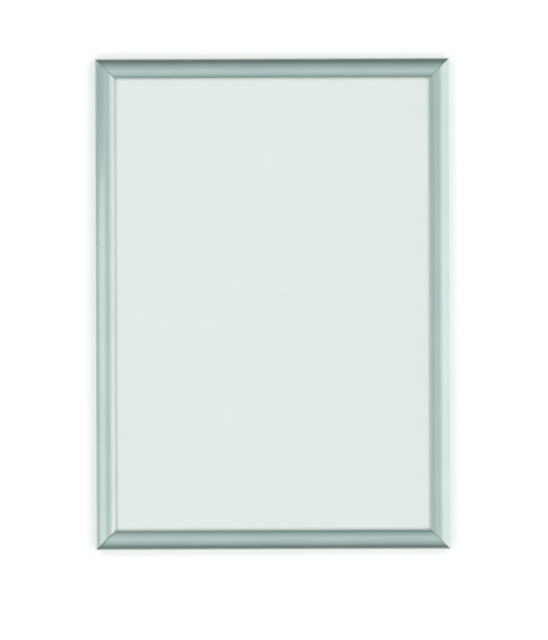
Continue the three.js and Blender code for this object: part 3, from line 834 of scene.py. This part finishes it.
def under_outline():
    under_outer, under_inner = OUTER_RADIUS - COVER_WALL, INNER_RADIUS - COVER_WALL
    foot_top = at(FOOT_X, height_on(INNER_ARC, under_inner, FOOT_X))
    apart = (OUTER_ARC - HINGE).length
    turn = math.acos((apart ** 2 + CLAW_OUTER ** 2 - under_outer ** 2) / (2 * apart * CLAW_OUTER))
    claw_top = angle_to(HINGE, OUTER_ARC) + turn
    under_end = angle_to(OUTER_ARC, polar(HINGE, CLAW_OUTER, claw_top))
    arm_edge = math.asin(ARM_THICKNESS / 2 / CLAW_OUTER)
    top = math.pi / 2
    return [
        *arc(INNER_ARC, under_inner, angle_to(INNER_ARC, foot_top), top),
        *arc(OUTER_ARC, under_outer, top, under_end)[1:],
        *arc(HINGE, CLAW_OUTER, claw_top, ARM_ANGLE + arm_edge)[1:],
        *arm_seat(),
        *arc(HINGE, CLAW_OUTER, ARM_ANGLE - arm_edge, CLAW_HEEL),
    ]


snap_outline = face_outline() + under_outline()
print("snap rail's section has", len(snap_outline), "points")

# %% [markdown]
# At the ends the claw's heel and the arm are cut back, so that two open rails clear each other at a corner.
# Hand-cut mitres are never all alike: in the photograph the one at the bottom left stands open a little more
# and shows as a dark line.

# %% The four snap rails
SNAP_EASE, OPEN_MITRE = 0.22, 1.0
MITRE_GAPS = {"bottom": (OPEN_MITRE, MITRE_GAP), "left": (MITRE_GAP, OPEN_MITRE)}


def snap_rail(side):
    _, length, _, _ = SIDES[side]
    looks = [satin.owner, cut_metal.owner]
    ends = mitre(length, *MITRE_GAPS.get(side, (MITRE_GAP, MITRE_GAP)))
    piece = rail(f"face_rail_{side}", snap_outline, looks, ends, SNAP_EASE)
    over = 1
    outside, inside = length / 2 + over, length / 2 - HEEL_CUT
    cut(piece, [
        block((inside, -over, 0), (outside, HEEL_CUT, HINGE.y), cut_metal.owner),
        block((-outside, -over, 0), (-inside, HEEL_CUT, HINGE.y), cut_metal.owner),
    ])
    put(piece, on_side(side), f"snap_{side}", "anodised_aluminium", f"snap_rail_{side}")
    return piece


for side in SIDES:
    made = snap_rail(side)
    print(made.name, len(made.data.polygons), "faces")

# %% [markdown]
# ## Weather seals
# A seal is a soft strip: a head in the foot's groove, a neck through its mouth and a flat bulb that presses
# on the cover. The bulb's edge shows as a thin line around the window. The seal moves with its snap rail.

# %% The four seals
BULB_HEIGHT, SEAL_BEHIND, SEAL_SHOWS, SEAL_EASE = 0.9, 1.3, 0.6, 0.2


def seal_outline():
    front, head = FOOT_BACK - SEAL_GAP, FOOT_BACK + MOUTH_DEPTH + SEAL_GAP
    behind, edge = SEAL_X - SEAL_BEHIND, RAIL_WIDTH + SEAL_SHOWS
    right = [(NECK_HALF, front), (NECK_HALF, head), (HEAD_HALF, head), (HEAD_HALF, head + HEAD_HEIGHT)]
    left = [(-x, y) for x, y in reversed(right)]
    return [
        *arc(at(behind + BULB_HEIGHT, front), BULB_HEIGHT, math.pi, 1.5 * math.pi),
        *arc(at(edge - BULB_HEIGHT, front), BULB_HEIGHT, 1.5 * math.pi, 2 * math.pi),
        *(at(SEAL_X + x, y) for x, y in right + left),
    ]


def seal(side):
    _, length, _, _ = SIDES[side]
    ends = mitre(length, MITRE_GAP, MITRE_GAP)
    piece = rail(f"seal_strip_{side}", seal_outline(), [rubber.owner], ends, SEAL_EASE)
    put(piece, on_side(side), f"snap_{side}", "seal_rubber", f"weather_seal_{side}")
    return piece


for side in SIDES:
    made = seal(side)
    print(made.name, len(made.data.polygons), "faces")

# %% [markdown]
# ## Base rails
# The base rail goes on the wall. Its outer wall ends in the hinge bead, the channel behind the two lips takes
# the corner keys, the web stops the sheets and holds the springs, and the ledge on it carries the back panel.

# %% Section of a base rail
def base_outline():
    mouth_top = LEAF_OPEN + math.pi - LEAF_SLOPE - LEAF_ROOM
    mouth_back = LEAF_SHUT - math.pi - LEAF_SLOPE + LEAF_ROOM
    mouth = arc(BASE_SEAT, SEAT_RADIUS, mouth_top, mouth_back)
    head_back, head_side = BASE_SEAT.y - SEAT_OUTER, mouth[-1].x
    corners = [
        (0, 0), (WEB_INNER, 0), (WEB_INNER, LEDGE_FRONT - LEDGE), (LEDGE_END, LEDGE_FRONT - LEDGE),
        (LEDGE_END, LEDGE_FRONT), (WEB_INNER, LEDGE_FRONT), (WEB_INNER, HEAD_TOP), (mouth[0].x, HEAD_TOP),
    ]
    inside = [
        (head_side, head_back), (WEB_OUTER, head_back - WEB_OUTER + head_side), (WEB_OUTER, LIP_TOP),
        (WEB_OUTER - INNER_LIP, LIP_TOP), (WEB_OUTER - INNER_LIP, SLOT_TOP), (WEB_OUTER, SLOT_TOP),
        (WEB_OUTER, FLOOR), (OUTER_WALL, FLOOR), (OUTER_WALL, SLOT_TOP), (OUTER_WALL + OUTER_LIP, SLOT_TOP),
        (OUTER_WALL + OUTER_LIP, LIP_TOP), (OUTER_WALL, LIP_TOP),
    ]
    bead_foot = -math.acos((OUTER_WALL - HINGE.x) / BEAD_RADIUS)
    bead = arc(HINGE, BEAD_RADIUS, bead_foot, math.pi)
    return [at(*p) for p in corners] + mouth + [at(*p) for p in inside] + bead


wall_outline = base_outline()
print("base rail's section has", len(wall_outline), "points")

# %% [markdown]
# Countersunk holes in the channel take the wall screws, midway between the springs, where a screwdriver
# reaches them. A cone on a cylinder cuts the hole and its countersink at once.

# %% The four base rails
HOLE_RADIUS, SINK_RADIUS, SINK_DEPTH, BASE_EASE = 2.25, 3.6, 1.0, 0.18
CHANNEL_CENTRE = (OUTER_WALL + WEB_OUTER) / 2


def screw_hole(x):
    slope, over = (SINK_RADIUS - HOLE_RADIUS) / SINK_DEPTH, 0.6
    steps = [
        (HOLE_RADIUS, -over), (HOLE_RADIUS, FLOOR - SINK_DEPTH), (SINK_RADIUS + slope * over, FLOOR + over),
    ]
    return loft("hole", [ring(r, z, centre=(x, CHANNEL_CENTRE)) for r, z in steps], [cut_metal.owner])


def base_rail(side):
    _, length, _, springs = SIDES[side]
    looks = [mill.owner, cut_metal.owner]
    ends = mitre(length, BASE_MITRE_GAP, BASE_MITRE_GAP)
    piece = rail(f"wall_rail_{side}", wall_outline, looks, ends, BASE_EASE)
    places = spring_places(springs, length)
    cut(piece, [screw_hole((a + b) / 2) for a, b in zip(places, places[1:])])
    put(piece, on_side(side), "base", "base_aluminium", f"base_rail_{side}")
    return piece


for side in SIDES:
    made = base_rail(side)
    print(made.name, len(made.data.polygons), "faces")

# %% [markdown]
# ## Leaf springs
# Each leaf is a bowed strip of spring steel with a rolled edge in either seat. It pushes the rail shut until
# the rail is half open, and pushes it open after that. It rides on the body that rocks in the base seat.

# %% The ten springs
LEAF_EASE = 0.1


def leaf_outline():
    radius, half = arc_radius(LEAF_CHORD / 2, LEAF_BOW), LEAF_THICKNESS / 2
    centre = polar((ARM_SEAT + BASE_SEAT) / 2, radius - LEAF_BOW, LEAF_SHUT - math.pi / 2)
    trim = math.sqrt(ROLL_RADIUS ** 2 - half ** 2) / radius
    start, end = angle_to(centre, ARM_SEAT) - trim, angle_to(centre, BASE_SEAT) + trim
    front, back = arc(centre, radius + half, start, end), arc(centre, radius - half, end, start)

    def rolled(seat, first, last):
        turn = angle_to(seat, first)
        sweep = (turn - angle_to(seat, last)) % (2 * math.pi)
        return arc(seat, ROLL_RADIUS, turn, turn - sweep)[1:-1]

    return front + rolled(BASE_SEAT, front[-1], back[0]) + back + rolled(ARM_SEAT, back[-1], front[0])


def leaf(side, number, x):
    name = f"spring_leaf_{side}_{number}"
    piece = rail(name, leaf_outline(), [strip.owner], square(LEAF_LENGTH), LEAF_EASE)
    put(piece, on_side(side, x), f"springs_{side}", "spring_steel", f"leaf_spring_{side}_{number}")
    return piece


for side, (_, length, _, springs) in SIDES.items():
    for number, x in enumerate(spring_places(springs, length), 1):
        made = leaf(side, number, x)
    print(springs, "springs like", made.name, "with", len(made.data.polygons), "faces")

# %% [markdown]
# ## Corner keys
# A key is an L of plated steel that slides into two base rails. Two grub screws in it press against the
# rails' floor and lock the corner. The keys are punched from plate, so their edges are eased, and each screw
# hole has a lead-in on both faces.

# %% The four keys
KEY_BACK, KEY_THICKNESS, KEY_ARM, KEY_PLAY = 1.55, 2.0, 55, 0.15
GRUB_RADIUS, GRUB_PLAY, GRUB_FROM_CORNER = 2.0, 0.15, 30
KEY_CORNER, KEY_CHAMFER, LEAD_IN = 1.2, 0.2, 0.3
CORNERS = {
    "bottom_left": (0, -1, -1), "bottom_right": (1, 1, -1), "top_right": (2, 1, 1), "top_left": (3, -1, 1),
}
GRUB_PLACES = [(GRUB_FROM_CORNER, CHANNEL_CENTRE), (CHANNEL_CENTRE, GRUB_FROM_CORNER)]


def corner_matrix(corner):
    quarter, right, up = CORNERS[corner]
    spot = Vector((right * FRAME_WIDTH / 2, up * FRAME_HEIGHT / 2, 0)) * MM
    return ON_WALL @ Matrix.Translation(spot) @ Matrix.Rotation(math.radians(90) * quarter, 4, "Z")


def key_hole(spot):
    radius, over, front = GRUB_RADIUS + GRUB_PLAY, 0.2, KEY_BACK + KEY_THICKNESS
    wide = radius + LEAD_IN + over
    steps = [
        (wide, KEY_BACK - over), (radius, KEY_BACK + LEAD_IN),
        (radius, front - LEAD_IN), (wide, front + over),
    ]
    return loft("hole", [ring(r, z, centre=spot) for r, z in steps], [zinc.owner])


def corner_key(corner):
    low, high = OUTER_WALL + KEY_PLAY, WEB_OUTER - KEY_PLAY
    corners = [(low, low), (KEY_ARM, low), (KEY_ARM, high), (high, high), (high, KEY_ARM), (low, KEY_ARM)]
    outline = eased([at(*p) for p in corners], KEY_CORNER)
    front = KEY_BACK + KEY_THICKNESS
    piece = plate(f"corner_plate_{corner}", outline, KEY_CHAMFER, KEY_BACK, front, zinc.owner)
    cut(piece, [key_hole(spot) for spot in GRUB_PLACES])
    put(piece, corner_matrix(corner), "base", "zinc_steel", f"corner_key_{corner}")
    return piece


for corner in CORNERS:
    made = corner_key(corner)
    print(made.name, len(made.data.polygons), "faces")

# %% [markdown]
# A grub screw is all thread, with a hexagon socket in its front. The thread is real: the radius of each point
# follows its height and its turn, so the ridge climbs round the screw, and it fades out in a chamfer at both
# ends.

# %% The eight grub screws
GRUB_LENGTH, THREAD_PITCH, THREAD_DEPTH = 2.5, 0.7, 0.3
GRUB_CHAMFER, SOCKET_RADIUS, SOCKET_DEPTH = 0.4, 1.1, 1.4
CONE_RADIUS, CONE_DEPTH, CONE_OVER = 1.2, 0.3, 0.1  # of the lead-in, at 45 degrees into the socket
THREAD_SIDES, THREAD_STEPS = 40, 30


def thread_ring(height):
    points = []
    end_room = min(height, GRUB_LENGTH - height)
    for i in range(THREAD_SIDES):
        phase = (height / THREAD_PITCH - i / THREAD_SIDES) % 1
        radius = GRUB_RADIUS - THREAD_DEPTH * abs(2 * phase - 1)
        radius = min(radius, GRUB_RADIUS - GRUB_CHAMFER + end_room)
        turn = 2 * math.pi * i / THREAD_SIDES
        points.append(Vector((radius * math.cos(turn), radius * math.sin(turn), height)))
    return points


def grub_screw(corner, number, spot):
    heights = [GRUB_LENGTH * i / THREAD_STEPS for i in range(THREAD_STEPS + 1)]
    piece = loft(f"grub_screw_{corner}_{number}", [thread_ring(z) for z in heights], [zinc.owner])
    bottom, over = GRUB_LENGTH - SOCKET_DEPTH, 0.5
    socket = loft("socket", [ring(SOCKET_RADIUS, z, 6) for z in (bottom, GRUB_LENGTH + over)], [zinc.owner])
    cone = [ring(CONE_RADIUS + z, GRUB_LENGTH + z) for z in (-CONE_DEPTH, CONE_OVER)]
    cut(piece, [socket, loft("lead", cone, [zinc.owner])])
    matrix = corner_matrix(corner) @ Matrix.Translation(Vector((*spot, KEY_BACK)) * MM)
    put(piece, matrix, "base", "zinc_steel", f"key_screw_{corner}_{number}")
    return piece


for corner in CORNERS:
    for number, spot in enumerate(GRUB_PLACES, 1):
        made = grub_screw(corner, number, spot)
    print("screws like", made.name, "with", len(made.data.polygons), "faces")

# %% [markdown]
# ## Sheets
# The back panel, the poster and the cover lie on each other behind the rails. They are flat, so one could
# keep the CAD solids, but a cut sheet never has razor edges: its corners are nipped round and its edges are
# broken with a scraper. So each is made again as a plate from its own CAD box, with a corner radius and the
# width of the broken edge.

# %% Panel, poster and cover
SHEETS = {
    "back_panel": ("stiff_back", plastic, "panel_plastic", 1.5, 0.3),
    "poster_sheet": ("blank_poster", paper, "poster_paper", 0.4, 0.05),
    "cover_sheet": ("matt_cover", cover, "clear_sheet", 1.0, 0.15),
}


def sheet(node, name, finish, slot, corner_radius, edge):
    low, high = (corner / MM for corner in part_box(node))
    corners = [(low.x, low.z), (high.x, low.z), (high.x, high.z), (low.x, high.z)]
    outline = eased([at(*p) for p in corners], corner_radius)
    piece = plate(name, outline, edge, -high.y, -low.y, finish.owner)
    put(piece, ON_WALL, "base", slot, node)
    return piece


for node, facts in SHEETS.items():
    made = sheet(node, *facts)
    print(made.name, [round(size / MM, 1) for size in made.dimensions])
